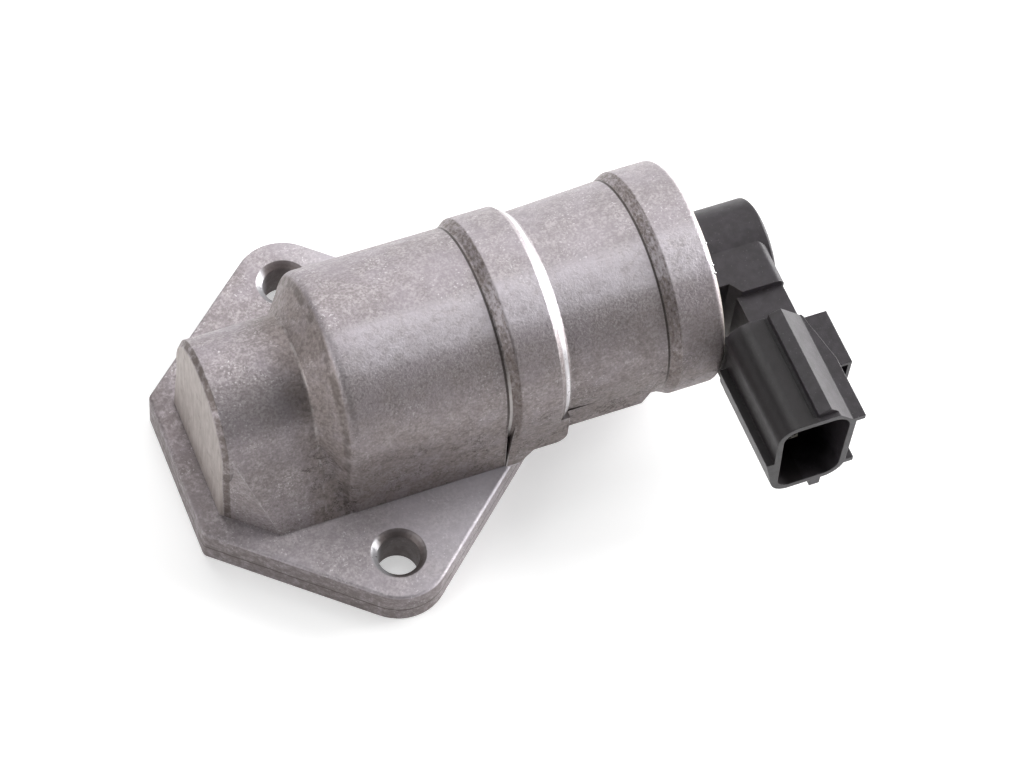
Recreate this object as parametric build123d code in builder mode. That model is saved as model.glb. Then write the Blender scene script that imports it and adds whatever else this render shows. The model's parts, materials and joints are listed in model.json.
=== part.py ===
from build123d import *
from math import acos, atan, cos, degrees, hypot, radians, sin
import os

# Idle air control valve, in millimetres.
# The origin lies on the mating face, midway between the two bolt holes.
# +X runs along the barrel towards the connector end.
# +Z leaves the mating face towards the barrel.

os.makedirs("parts", exist_ok=True)

# Flange
flange_thickness = 7.0
flange_length = 54.0
flange_side_angle = 41.0
flange_end_round = 1.2
flange_edge_round = 0.5
lug_radius = 7.9
bolt_spacing = 52.0
bolt_hole_diameter = 6.6
bolt_hole_chamfer = 0.95

# Outside of the casting, along the barrel
axis_height = 20.0
nose_reach = 23.1
nose_length = 14.8
nose_radius = 11.5
nose_chamfer = 0.9
shoulder_length = 4.1
shoulder_outer_round = 2.2
shoulder_inner_round = 0.8
barrel_length = 25.2
barrel_radius = 17.0
collar_length = 8.2
collar_ramp_length = 1.5
collar_radius = 18.0
collar_round = 0.8
machined_cone_length = 2.0
waist_length = 16.1
waist_front_radius = 16.45
waist_rear_radius = 17.15
rim_ramp_length = 1.7
rim_length = 7.4
rim_radius = 18.0
rim_edge_round = 1.0
rim_relief = 0.3

# Walls between the barrel and the flange
base_half_width = 17.3
base_end_inset = 3.4
base_side_inset = 4.0
flank_lap = 0.03
skirt_half_width = 17.5
skirt_foot_length = 2.3
skirt_ramp_length = 2.2
skirt_lift = 2.9
skirt_overhang = 1.8
skirt_round = 1.9
side_rib_half_width = 16.3
side_rib_height = 4.8
side_rib_drop = 3.4
side_rib_length = 12.8
side_rib_ramp = 2.4

# Inside of the casting
nose_wall = 3.0
front_chamber_radius = 8.5
front_chamber_length = 13.1
seat_web_thickness = 5.0
rear_chamber_radius = 13.0
rear_chamber_length = 23.0
solenoid_bore_radius = 13.95
end_plate_seat_radius = 15.6
crimp_lip_thickness = 1.9
crimp_lip_radius = 13.9
inlet_port_radius = 5.0
inlet_port_offset = 8.0
outlet_port_radius = 6.5
outlet_port_offset = 13.0

# Fits
press_clearance = 0.02
slip_clearance = 0.05
running_clearance = 0.05
loose_clearance = 0.15

# Valve, shaft and bushes
stroke = 3.0
shaft_front_radius = 2.0
shaft_rear_radius = 2.5
shaft_end_setback = 0.6
shaft_end_chamfer = 0.4
bush_chamfer = 0.3
front_bush_radius = 4.5
front_bush_length = 6.0
seat_ring_radius = 8.0
seat_ring_length = 3.0
seat_bore_radius = 6.0
seat_lip_width = 0.8
seat_lip_height = 0.6
valve_disc_radius = 7.5
valve_disc_thickness = 2.5
valve_disc_hub_radius = 4.2
valve_disc_hub_length = 1.4
disc_washer_radius = 5.3
disc_washer_thickness = 0.6
clip_radius = 3.5
clip_thickness = 0.7
clip_groove_depth = 0.45
clip_band = 1.0
clip_tab_width = 1.0
clip_mouth = 2.6
rear_bush_radius = 4.0
partition_thickness = 4.0
partition_seal_radius = 0.75
seal_pocket_radius = 5.2
seal_pocket_depth = 1.6
seal_lip_gap = 0.2
seal_lip_width = 0.4
seal_web_thickness = 0.6

# Solenoid
yoke_wall = 1.6
sleeve_wall = 0.5
plunger_radius = 6.5
plunger_length = 8.0
plunger_vent_radius = 0.8
plunger_vent_count = 4
pole_length = 7.6
pole_flange_thickness = 2.6
pole_bore_radius = 3.2
residual_gap = 0.3
shim_thickness = 0.3
shim_width = 2.2
bobbin_tube_wall = 0.8
bobbin_flange_thickness = 1.3
bobbin_flange_radius = 12.0
spring_washer_thickness = 0.4
spring_washer_height = 0.9
spring_washer_inner_radius = 8.4
spring_washer_outer_radius = 11.6
winding_depth = 3.4
end_plate_thickness = 3.0
end_seal_radius = 0.7
screw_setback = 0.5
screw_length = 3.2
screw_socket_radius = 1.1
screw_socket_depth = 1.8
spring_pocket_depth = 3.0
return_wire_radius = 0.35
return_spring_radius = 2.45
return_spring_turns = 6
front_wire_radius = 0.3
front_spring_radius = 4.5
front_spring_turns = 5

# Moulded terminal cap
cap_boss_radius = 8.2
cap_boss_reach = 13.1
cap_boss_edge = 0.5
cap_foot_radius = 10.5
cap_foot_thickness = 1.4
cap_block_reach = 11.2
cap_block_near_reach = 9.2
cap_block_near_length = 3.3
cap_block_slope_length = 1.4
cap_block_half_height = 7.5
cap_block_clearance = 0.3
cap_block_end_setback = 0.9
cap_block_round = 1.4
cap_neck_start = 4.2
cap_neck_width = 7.7
cap_neck_height = 12.4
cap_web_clearance = 0.5
cap_web_thickness = 2.0
cap_web_height = 9.0
shell_start = 17.2
shell_length = 19.8
shell_offset = 6.3
shell_drop = 0.7
shell_width = 13.4
shell_height = 18.4
shell_lean = 1.0
shell_corner = 3.4
shell_wall = 1.05
shell_floor = 3.8
shell_bevel = 3.2
socket_near_round = 3.2
rail_reach = 6.6
rail_edge_height = 0.7
rail_peak_height = 1.4
rail_groove_width = 0.6
rail_groove_depth = 0.3
rail_setback = 0.8
fin_thickness = 1.0
fin_root_depth = 0.5
fin_flare = 1.4
fin_ramp_length = 9.0
fin_spacing = 12.6
latch_width = 4.3
latch_height = 7.8
latch_lap = 0.5
latch_length = 9.8
latch_wall = 0.6
latch_pocket_depth = 6.0
key_rib_width = 0.8
key_rib_height = 6.6
key_rib_lift = 2.6
key_rib_setback = 1.6
gate_nub_offset = 2.15
gate_nub_width = 1.7
gate_nub_height = 1.7
gate_nub_length = 1.0

# Terminals
terminal_width = 1.6
terminal_thickness = 0.8
terminal_spread = 8.0
terminal_coil_radius = 9.2
terminal_blade_length = 10.5
terminal_jog_setback = 0.2
terminal_slot_clearance = 0.02
pole_slot_clearance = 0.5

# Positions along the barrel, worked out from the lengths above
nose_end = -nose_reach
shoulder_start = nose_end + nose_length
shoulder_end = shoulder_start + shoulder_length
collar_start = shoulder_end + barrel_length
collar_end = collar_start + collar_length
waist_start = collar_end + machined_cone_length
waist_end = waist_start + waist_length
rim_start = waist_end + rim_ramp_length
rim_end = rim_start + rim_length
bush_pocket_start = nose_end + nose_wall
front_chamber_start = bush_pocket_start + front_bush_length
seat_web_start = front_chamber_start + front_chamber_length
rear_chamber_start = seat_web_start + seat_web_thickness
partition_start = rear_chamber_start + rear_chamber_length
partition_end = partition_start + partition_thickness
lip_start = rim_end - crimp_lip_thickness
end_plate_start = lip_start - end_plate_thickness
pole_flange_start = end_plate_start - pole_flange_thickness
pole_front = end_plate_start - pole_length
shim_front = pole_front - shim_thickness
plunger_rear = shim_front - residual_gap - stroke
plunger_front = plunger_rear - plunger_length
cap_end = rim_end + cap_boss_reach
disc_front = rear_chamber_start + seat_lip_height
disc_rear = disc_front + valve_disc_thickness
hub_end = disc_rear + valve_disc_hub_length
washer_front = disc_front - disc_washer_thickness
clip_front = washer_front - clip_thickness
shaft_start = bush_pocket_start + shaft_end_setback
shaft_end = plunger_rear - spring_pocket_depth
rear_bush_start = partition_start + seal_pocket_depth
bobbin_start = partition_end + spring_washer_height
bobbin_end = pole_flange_start
screw_rear = end_plate_start - screw_setback
screw_front = screw_rear - screw_length
block_start = rim_end + cap_block_clearance
block_end = cap_end - cap_block_end_setback

# The barrel's own axis and planes
barrel_axis = Axis((0, 0, axis_height), (1, 0, 0))
barrel_plane = Plane(origin=(0, 0, axis_height), x_dir=(1, 0, 0), z_dir=(0, -1, 0))
along = (Align.MIN, Align.CENTER)

# Flange outline: a six-sided plate whose long sides touch the lug circles
side_turn = radians(flange_side_angle)
flange_half_length = flange_length / 2
bolt_offset = bolt_spacing / 2
lug_apex = bolt_offset + lug_radius / cos(side_turn)
side_distance = lug_apex * cos(side_turn)
flange_corner_y = (side_distance - flange_half_length * sin(side_turn)) / cos(side_turn)

# Footprint of the nose block on the flange, set in from the flange outline
base_end = -(flange_half_length - base_end_inset)
base_side_distance = side_distance - base_side_inset
base_corner_y = (base_side_distance + base_end * sin(side_turn)) / cos(side_turn)
base_bend = -(base_side_distance - base_half_width * cos(side_turn)) / sin(side_turn)

# Where the flank of the nose block, which rises from its footprint, touches the round of the nose
base_rise = axis_height - flange_thickness
flank_angle = acos(nose_radius / hypot(base_half_width, base_rise)) - atan(base_rise / base_half_width)
flank_rise = nose_radius * sin(flank_angle)
flank_half_width = nose_radius * cos(flank_angle) - flank_lap
flank_end_half_width = ((nose_radius - nose_chamfer) ** 2 - flank_rise ** 2) ** 0.5 - flank_lap

# Level of the casting's parting line below the barrel axis, and the rib under it
rib_top = -side_rib_drop
rib_bottom = -(side_rib_drop + side_rib_height)
rib_end = waist_start + side_rib_length
deck = flange_thickness - axis_height
skirt_end = collar_end + skirt_overhang
skirt_foot_end = collar_start + skirt_foot_length
wall_draft = degrees(atan((base_half_width - barrel_radius) / base_rise))


def section(x):
    """Plane square to the barrel at x, with its own X along +Y and its own Y upwards."""
    return Plane(origin=(x, 0, axis_height), x_dir=(0, 1, 0), z_dir=(1, 0, 0))


def nearest(shapes, point):
    """The shape that lies closest to a point."""
    return shapes.sort_by_distance(point)[0]


# Casting: flange, nose, barrel, collar, waist and rim in one piece
with BuildPart() as valve_housing:
    with BuildSketch() as flange_sketch:
        Polygon(
            (flange_half_length, flange_corner_y),
            (0, lug_apex),
            (-flange_half_length, flange_corner_y),
            (-flange_half_length, -flange_corner_y),
            (0, -lug_apex),
            (flange_half_length, -flange_corner_y),
            align=None,
        )
        by_width = flange_sketch.vertices().sort_by(Axis.Y)
        fillet([by_width[0], by_width[-1]], lug_radius)
        by_length = flange_sketch.vertices().sort_by(Axis.X)
        fillet(by_length[:2] + by_length[-2:], flange_end_round)
    extrude(amount=flange_thickness)
    fillet(faces().sort_by(Axis.Z)[-1].edges(), flange_edge_round)
    fillet(faces().sort_by(Axis.Z)[0].edges(), flange_edge_round)

    # turned outside form of nose, shoulder, barrel, collar, waist and rim
    with BuildSketch(barrel_plane) as outside_sketch:
        with BuildLine():
            Polyline(
                (nose_end, 0),
                (nose_end, nose_radius - nose_chamfer),
                (nose_end + nose_chamfer, nose_radius),
                (shoulder_start, nose_radius),
                (shoulder_end, barrel_radius),
                (collar_start, barrel_radius),
                (collar_start + collar_ramp_length, collar_radius),
                (collar_end, collar_radius),
                (waist_start, waist_front_radius),
                (waist_end, waist_rear_radius),
                (rim_start, rim_radius),
                (rim_end, rim_radius),
                (rim_end, 0),
                close=True,
            )
        make_face()
        fillet(nearest(outside_sketch.vertices(), (shoulder_end, barrel_radius)), shoulder_outer_round)
        fillet(nearest(outside_sketch.vertices(), (shoulder_start, nose_radius)), shoulder_inner_round)
        collar_corner = (collar_start + collar_ramp_length, collar_radius)
        fillet(nearest(outside_sketch.vertices(), collar_corner), collar_round)
        fillet(nearest(outside_sketch.vertices(), (rim_end, rim_radius)), rim_edge_round)
    revolve(axis=barrel_axis)

    # nose block, flaring out from the nose to its footprint on the flange
    with BuildSketch(Plane.XY.offset(flange_thickness)):
        Polygon(
            (shoulder_end, base_half_width),
            (base_bend, base_half_width),
            (base_end, base_corner_y),
            (base_end, -base_corner_y),
            (base_bend, -base_half_width),
            (shoulder_end, -base_half_width),
            align=None,
        )
    with BuildSketch(Plane.XY.offset(axis_height + flank_rise)):
        Polygon(
            (shoulder_end, flank_half_width),
            (nose_end + nose_chamfer, flank_half_width),
            (nose_end, flank_end_half_width),
            (nose_end, -flank_end_half_width),
            (nose_end + nose_chamfer, -flank_half_width),
            (shoulder_end, -flank_half_width),
            align=None,
        )
    loft()

    # walls that carry the barrel, with the shoulder's slope at their front
    with BuildSketch(Plane.XY.offset(flange_thickness)) as wall_sketch:
        Polygon(
            (shoulder_start, nose_radius),
            (shoulder_start, -nose_radius),
            (shoulder_end, -base_half_width),
            (collar_start, -base_half_width),
            (collar_start, base_half_width),
            (shoulder_end, base_half_width),
            align=None,
        )
        front_corners = wall_sketch.vertices().group_by(Axis.X)[1]
        fillet(front_corners, shoulder_outer_round)
    extrude(amount=base_rise, taper=wall_draft)

    # skirt under the collar, which leaves the flange and juts out past it
    with BuildSketch(barrel_plane) as skirt_sketch:
        Polygon(
            (collar_start, deck),
            (skirt_foot_end, deck),
            (skirt_foot_end + skirt_ramp_length, deck + skirt_lift),
            (skirt_end, deck + skirt_lift),
            (skirt_end, rib_top),
            (collar_end, rib_top),
            (collar_end, 0),
            (collar_start + collar_ramp_length / 2, 0),
            align=None,
        )
        fillet(nearest(skirt_sketch.vertices(), (skirt_end, deck + skirt_lift)), skirt_round)
    extrude(amount=skirt_half_width, both=True)

    # rib along the underside of the waist, below the parting line
    with BuildSketch(barrel_plane):
        Polygon(
            (collar_end, rib_bottom),
            (rib_end, rib_bottom),
            (rib_end + side_rib_ramp, rib_top),
            (collar_end, rib_top),
            align=None,
        )
    extrude(amount=side_rib_half_width, both=True)

    # bores, from the bush pocket in the nose to the seat of the end plate
    with BuildSketch(barrel_plane):
        with BuildLine():
            Polyline(
                (bush_pocket_start, 0),
                (bush_pocket_start, front_bush_radius + press_clearance),
                (front_chamber_start, front_bush_radius + press_clearance),
                (front_chamber_start, front_chamber_radius),
                (seat_web_start, front_chamber_radius),
                (seat_web_start, seat_bore_radius + seat_lip_width),
                (rear_chamber_start - seat_ring_length, seat_bore_radius + seat_lip_width),
                (rear_chamber_start - seat_ring_length, seat_ring_radius + press_clearance),
                (rear_chamber_start, seat_ring_radius + press_clearance),
                (rear_chamber_start, rear_chamber_radius),
                (partition_start, rear_chamber_radius),
                (partition_start, solenoid_bore_radius),
                (end_plate_start, solenoid_bore_radius),
                (end_plate_start, end_plate_seat_radius),
                (lip_start, end_plate_seat_radius),
                (lip_start, crimp_lip_radius),
                (rim_end, crimp_lip_radius),
                (rim_end, 0),
                close=True,
            )
        make_face()
    revolve(axis=barrel_axis, mode=Mode.SUBTRACT)

    # air ports up from the mating face into the two chambers
    with BuildSketch():
        with Locations((-inlet_port_offset, 0)):
            Circle(inlet_port_radius)
        with Locations((outlet_port_offset, 0)):
            Circle(outlet_port_radius)
    extrude(amount=axis_height, mode=Mode.SUBTRACT)

    # bolt holes, eased at the top
    with Locations(Plane.XY.offset(flange_thickness)):
        with Locations((0, bolt_offset), (0, -bolt_offset)):
            CounterSinkHole(
                radius=bolt_hole_diameter / 2,
                counter_sink_radius=bolt_hole_diameter / 2 + bolt_hole_chamfer,
                depth=flange_thickness,
                counter_sink_angle=90,
            )
valve_housing.part.label = "valve_housing"
export_step(valve_housing.part, "parts/valve_housing.step")

# Radii that follow from the parts they fit
shaft_groove_radius = shaft_front_radius - clip_groove_depth
seal_outer_radius = seal_pocket_radius - press_clearance
seal_lip_radius = shaft_rear_radius + seal_lip_gap
partition_radius = solenoid_bore_radius - slip_clearance
partition_seal_ring = solenoid_bore_radius - press_clearance - partition_seal_radius
partition_groove_floor = partition_seal_ring - partition_seal_radius - press_clearance
partition_groove_width = 2 * (partition_seal_radius + loose_clearance)
yoke_inner_radius = partition_radius - yoke_wall
sleeve_inner_radius = plunger_radius + running_clearance
sleeve_outer_radius = sleeve_inner_radius + sleeve_wall
bobbin_bore_radius = sleeve_outer_radius + slip_clearance
bobbin_tube_radius = bobbin_bore_radius + bobbin_tube_wall
spring_pocket_radius = return_spring_radius + return_wire_radius + loose_clearance
end_plate_radius = end_plate_seat_radius - slip_clearance
end_seal_ring = end_plate_seat_radius - press_clearance - end_seal_radius
end_groove_floor = end_seal_ring - end_seal_radius - press_clearance
end_groove_width = 2 * (end_seal_radius + loose_clearance)

# Places around the connector shell
shell_centre = rim_end + shell_offset
shell_level = axis_height - shell_drop
shell_left = shell_centre - shell_width / 2
shell_right = shell_centre + shell_width / 2
shell_top = shell_level + shell_height / 2
shell_bottom = shell_level - shell_height / 2
shell_mouth = shell_start + shell_length
rail_start = shell_right - rail_reach
terminal_jog = end_plate_start + cap_foot_thickness - terminal_jog_setback - terminal_thickness / 2


# Bush pressed into the nose, which guides the front of the shaft
with BuildPart() as front_guide_bush:
    with BuildSketch(section(bush_pocket_start)):
        Circle(front_bush_radius)
        Circle(shaft_front_radius + running_clearance, mode=Mode.SUBTRACT)
    extrude(amount=front_bush_length)
    chamfer(edges().filter_by(GeomType.CIRCLE).group_by(Axis.X)[0].sort_by(SortBy.RADIUS)[-1], bush_chamfer)
front_guide_bush.part.label = "front_guide_bush"
export_step(front_guide_bush.part, "parts/front_guide_bush.step")

# Seat ring with a raised lip, pressed into the web between the chambers
with BuildPart() as valve_seat:
    with BuildSketch(section(rear_chamber_start - seat_ring_length)):
        Circle(seat_ring_radius)
        Circle(seat_bore_radius, mode=Mode.SUBTRACT)
    extrude(amount=seat_ring_length)
    with BuildSketch(section(rear_chamber_start)):
        Circle(seat_bore_radius + seat_lip_width)
        Circle(seat_bore_radius, mode=Mode.SUBTRACT)
    extrude(amount=seat_lip_height)
valve_seat.part.label = "valve_seat"
export_step(valve_seat.part, "parts/valve_seat.step")

# Shaft, stepped behind the disc, with a groove for the clip in front of it
with BuildPart() as valve_shaft:
    with BuildSketch(barrel_plane):
        with BuildLine():
            Polyline(
                (shaft_start, 0),
                (shaft_start, shaft_front_radius - shaft_end_chamfer),
                (shaft_start + shaft_end_chamfer, shaft_front_radius),
                (clip_front - slip_clearance, shaft_front_radius),
                (clip_front - slip_clearance, shaft_groove_radius),
                (washer_front, shaft_groove_radius),
                (washer_front, shaft_front_radius),
                (hub_end, shaft_front_radius),
                (hub_end, shaft_rear_radius),
                (shaft_end, shaft_rear_radius),
                (shaft_end, 0),
                close=True,
            )
        make_face()
    revolve(axis=barrel_axis)
valve_shaft.part.label = "valve_shaft"
export_step(valve_shaft.part, "parts/valve_shaft.step")

# Disc that closes the seat, with a hub against the step of the shaft
with BuildPart() as valve_disc:
    with BuildSketch(section(disc_front)):
        Circle(valve_disc_radius)
    extrude(amount=valve_disc_thickness)
    with BuildSketch(section(disc_rear)):
        Circle(valve_disc_hub_radius)
    extrude(amount=valve_disc_hub_length)
    with BuildSketch(section(disc_front)):
        Circle(shaft_front_radius + press_clearance)
    extrude(amount=hub_end - disc_front, mode=Mode.SUBTRACT)
valve_disc.part.label = "valve_disc"
export_step(valve_disc.part, "parts/valve_disc.step")

# Washer between the disc and the front spring
with BuildPart() as disc_washer:
    with BuildSketch(section(washer_front)):
        Circle(disc_washer_radius)
        Circle(shaft_front_radius + slip_clearance, mode=Mode.SUBTRACT)
    extrude(amount=disc_washer_thickness)
disc_washer.part.label = "disc_washer"
export_step(disc_washer.part, "parts/disc_washer.step")

# Clip with three tabs that reach into the groove of the shaft, open at one side
with BuildPart() as disc_clip:
    with BuildSketch(section(clip_front)):
        Circle(clip_radius)
        Circle(clip_radius - clip_band, mode=Mode.SUBTRACT)
        with PolarLocations((clip_radius + shaft_groove_radius + slip_clearance) / 2, 4):
            Rectangle(clip_radius - shaft_groove_radius - slip_clearance - clip_band / 2, clip_tab_width)
        Rectangle(clip_radius + clip_band, clip_mouth, align=along, mode=Mode.SUBTRACT)
    extrude(amount=clip_thickness)
disc_clip.part.label = "disc_clip"
export_step(disc_clip.part, "parts/disc_clip.step")

# Partition between the air chamber and the solenoid, grooved for its seal
with BuildPart() as partition_plate:
    with BuildSketch(barrel_plane):
        with BuildLine():
            Polyline(
                (partition_start, seal_pocket_radius),
                (partition_start, partition_radius),
                (partition_end, partition_radius),
                (partition_end, rear_bush_radius + press_clearance),
                (rear_bush_start, rear_bush_radius + press_clearance),
                (rear_bush_start, seal_pocket_radius),
                close=True,
            )
        make_face()
        with Locations(((partition_start + partition_end) / 2, partition_radius)):
            Rectangle(
                partition_groove_width,
                2 * (partition_radius - partition_groove_floor),
                mode=Mode.SUBTRACT,
            )
    revolve(axis=barrel_axis)
partition_plate.part.label = "partition_plate"
export_step(partition_plate.part, "parts/partition_plate.step")

# Round seal in the groove of the partition
with BuildPart() as partition_seal:
    with BuildSketch(barrel_plane):
        with Locations(((partition_start + partition_end) / 2, partition_seal_ring)):
            Circle(partition_seal_radius)
    revolve(axis=barrel_axis)
partition_seal.part.label = "partition_seal"
export_step(partition_seal.part, "parts/partition_seal.step")

# Bush in the partition, which guides the rear of the shaft
with BuildPart() as rear_guide_bush:
    with BuildSketch(section(rear_bush_start)):
        Circle(rear_bush_radius)
        Circle(shaft_rear_radius + running_clearance, mode=Mode.SUBTRACT)
    extrude(amount=partition_end - rear_bush_start)
rear_guide_bush.part.label = "rear_guide_bush"
export_step(rear_guide_bush.part, "parts/rear_guide_bush.step")

# Lip seal in front of the rear bush, thin behind its lip
with BuildPart() as shaft_seal:
    with BuildSketch(barrel_plane):
        with BuildLine():
            Polyline(
                (partition_start, seal_outer_radius),
                (partition_start, seal_lip_radius),
                (partition_start + seal_lip_width, seal_lip_radius),
                (rear_bush_start - seal_web_thickness, seal_lip_radius + seal_web_thickness),
                (rear_bush_start, seal_lip_radius + seal_web_thickness),
                (rear_bush_start, seal_outer_radius),
                close=True,
            )
        make_face()
    revolve(axis=barrel_axis)
shaft_seal.part.label = "shaft_seal"
export_step(shaft_seal.part, "parts/shaft_seal.step")

# Steel tube that carries the magnetic field round the coil
with BuildPart() as solenoid_yoke:
    with BuildSketch(section(partition_end)):
        Circle(partition_radius)
        Circle(yoke_inner_radius, mode=Mode.SUBTRACT)
    extrude(amount=end_plate_start - partition_end)
solenoid_yoke.part.label = "solenoid_yoke"
export_step(solenoid_yoke.part, "parts/solenoid_yoke.step")

# Dished washer that presses the bobbin against the pole flange
with BuildPart() as spring_washer:
    with BuildSketch(barrel_plane):
        Polygon(
            (bobbin_start - spring_washer_thickness, spring_washer_inner_radius),
            (bobbin_start, spring_washer_inner_radius),
            (partition_end + spring_washer_thickness, spring_washer_outer_radius),
            (partition_end, spring_washer_outer_radius),
            align=None,
        )
    revolve(axis=barrel_axis)
spring_washer.part.label = "spring_washer"
export_step(spring_washer.part, "parts/spring_washer.step")

# Bobbin, a tube with a flange at each end
with BuildPart() as coil_bobbin:
    with BuildSketch(section(bobbin_start)):
        Circle(bobbin_tube_radius)
        Circle(bobbin_bore_radius, mode=Mode.SUBTRACT)
    extrude(amount=bobbin_end - bobbin_start)
    with BuildSketch(section(bobbin_start), section(bobbin_end - bobbin_flange_thickness)):
        Circle(bobbin_flange_radius)
        Circle(bobbin_bore_radius, mode=Mode.SUBTRACT)
    extrude(amount=bobbin_flange_thickness)
coil_bobbin.part.label = "coil_bobbin"
export_step(coil_bobbin.part, "parts/coil_bobbin.step")

# Copper winding between the flanges of the bobbin
with BuildPart() as coil_winding:
    with BuildSketch(section(bobbin_start + bobbin_flange_thickness)):
        Circle(bobbin_tube_radius + winding_depth)
        Circle(bobbin_tube_radius, mode=Mode.SUBTRACT)
    extrude(amount=bobbin_end - bobbin_start - 2 * bobbin_flange_thickness)
coil_winding.part.label = "coil_winding"
export_step(coil_winding.part, "parts/coil_winding.step")

# Thin sleeve that the plunger slides in
with BuildPart() as plunger_sleeve:
    with BuildSketch(section(partition_end)):
        Circle(sleeve_outer_radius)
        Circle(sleeve_inner_radius, mode=Mode.SUBTRACT)
    extrude(amount=pole_flange_start - partition_end)
plunger_sleeve.part.label = "plunger_sleeve"
export_step(plunger_sleeve.part, "parts/plunger_sleeve.step")

# Plunger pressed on the shaft, with vent holes and a pocket for the return spring
with BuildPart() as plunger:
    with BuildSketch(section(plunger_front)):
        Circle(plunger_radius)
        Circle(shaft_rear_radius + press_clearance, mode=Mode.SUBTRACT)
        with PolarLocations((plunger_radius + spring_pocket_radius) / 2, plunger_vent_count):
            Circle(plunger_vent_radius, mode=Mode.SUBTRACT)
    extrude(amount=plunger_length)
    with BuildSketch(section(shaft_end)):
        Circle(spring_pocket_radius)
    extrude(amount=spring_pocket_depth, mode=Mode.SUBTRACT)
plunger.part.label = "plunger"
export_step(plunger.part, "parts/plunger.step")

# Fixed pole: a core inside the sleeve and a flange inside the yoke, slotted for the terminals
with BuildPart() as pole_core:
    with BuildSketch(section(pole_front)):
        Circle(plunger_radius)
    extrude(amount=end_plate_start - pole_front)
    with BuildSketch(section(pole_flange_start)) as pole_flange_sketch:
        Circle(yoke_inner_radius - slip_clearance)
        with Locations((0, terminal_coil_radius), (0, -terminal_coil_radius)):
            Rectangle(
                terminal_width + 2 * pole_slot_clearance,
                terminal_thickness + 2 * pole_slot_clearance,
                mode=Mode.SUBTRACT,
            )
    extrude(amount=pole_flange_thickness)
    with BuildSketch(section(pole_front)):
        Circle(pole_bore_radius)
    extrude(amount=end_plate_start - pole_front, mode=Mode.SUBTRACT)
pole_core.part.label = "pole_core"
export_step(pole_core.part, "parts/pole_core.step")

# Brass shim on the face of the pole, which keeps the plunger from sticking
with BuildPart() as plunger_shim:
    with BuildSketch(section(shim_front)):
        Circle(plunger_radius)
        Circle(plunger_radius - shim_width, mode=Mode.SUBTRACT)
    extrude(amount=shim_thickness)
plunger_shim.part.label = "plunger_shim"
export_step(plunger_shim.part, "parts/plunger_shim.step")

# Screw in the pole's bore that sets the load of the return spring
with BuildPart() as preload_screw:
    with BuildSketch(section(screw_front)):
        Circle(pole_bore_radius - slip_clearance)
    extrude(amount=screw_length)
    with BuildSketch(section(screw_rear)):
        RegularPolygon(screw_socket_radius, 6)
    extrude(amount=-screw_socket_depth, mode=Mode.SUBTRACT)
preload_screw.part.label = "preload_screw"
export_step(preload_screw.part, "parts/preload_screw.step")

# Spring between the plunger and the preload screw
with BuildPart() as return_spring:
    return_free = slip_clearance + return_wire_radius
    return_span = screw_front - shaft_end - 2 * return_free
    with BuildLine():
        return_path = Helix(
            pitch=return_span / return_spring_turns,
            height=return_span,
            radius=return_spring_radius,
            center=(shaft_end + return_free, 0, axis_height),
            direction=(1, 0, 0),
        )
    with BuildSketch(Plane(origin=return_path @ 0, z_dir=return_path % 0)):
        Circle(return_wire_radius)
    sweep(path=return_path, is_frenet=True)
return_spring.part.label = "return_spring"
export_step(return_spring.part, "parts/return_spring.step")

# Spring between the front bush and the washer of the disc
with BuildPart() as front_spring:
    front_free = slip_clearance + front_wire_radius
    front_span = washer_front - front_chamber_start - 2 * front_free
    with BuildLine():
        front_path = Helix(
            pitch=front_span / front_spring_turns,
            height=front_span,
            radius=front_spring_radius,
            center=(front_chamber_start + front_free, 0, axis_height),
            direction=(1, 0, 0),
        )
    with BuildSketch(Plane(origin=front_path @ 0, z_dir=front_path % 0)):
        Circle(front_wire_radius)
    sweep(path=front_path, is_frenet=True)
front_spring.part.label = "front_spring"
export_step(front_spring.part, "parts/front_spring.step")

# End plate held by the crimped lip, recessed in front for the foot of the cap
with BuildPart() as end_plate:
    with BuildSketch(barrel_plane):
        with BuildLine():
            Polyline(
                (end_plate_start, cap_foot_radius + slip_clearance),
                (end_plate_start, end_plate_radius),
                (lip_start, end_plate_radius),
                (lip_start, cap_boss_radius + slip_clearance),
                (end_plate_start + cap_foot_thickness, cap_boss_radius + slip_clearance),
                (end_plate_start + cap_foot_thickness, cap_foot_radius + slip_clearance),
                close=True,
            )
        make_face()
        with Locations(((end_plate_start + lip_start) / 2, end_plate_radius)):
            Rectangle(end_groove_width, 2 * (end_plate_radius - end_groove_floor), mode=Mode.SUBTRACT)
    revolve(axis=barrel_axis)
end_plate.part.label = "end_plate"
export_step(end_plate.part, "parts/end_plate.step")

# Round seal in the groove of the end plate
with BuildPart() as end_seal:
    with BuildSketch(barrel_plane):
        with Locations(((end_plate_start + lip_start) / 2, end_seal_ring)):
            Circle(end_seal_radius)
    revolve(axis=barrel_axis)
end_seal.part.label = "end_seal"
export_step(end_seal.part, "parts/end_seal.step")


def terminal_strip(side, clearance):
    """Bent terminal strip above (1) or below (-1) the axis, grown all round by a clearance."""
    coil_level = axis_height + side * terminal_coil_radius
    blade_level = shell_level + side * terminal_spread / 2
    wide = terminal_width + 2 * clearance
    thick = terminal_thickness + 2 * clearance
    blade_tip = shell_start + shell_floor + terminal_blade_length
    with BuildPart() as strip:
        with BuildSketch(Plane.XZ):
            with Locations((pole_flange_start, coil_level)):
                Rectangle(terminal_jog - pole_flange_start + thick / 2, thick, align=along)
            with Locations((terminal_jog, (coil_level + blade_level) / 2)):
                Rectangle(thick, abs(coil_level - blade_level) + thick)
            with Locations((terminal_jog, blade_level)):
                Rectangle(shell_centre - terminal_jog + wide / 2, thick, align=along)
        extrude(amount=wide / 2, both=True)
        with BuildSketch(Plane.XY.offset(blade_level)):
            with Locations((shell_centre, -blade_tip / 2)):
                Rectangle(wide, blade_tip)
        extrude(amount=thick / 2, both=True)
    return strip.part


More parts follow.
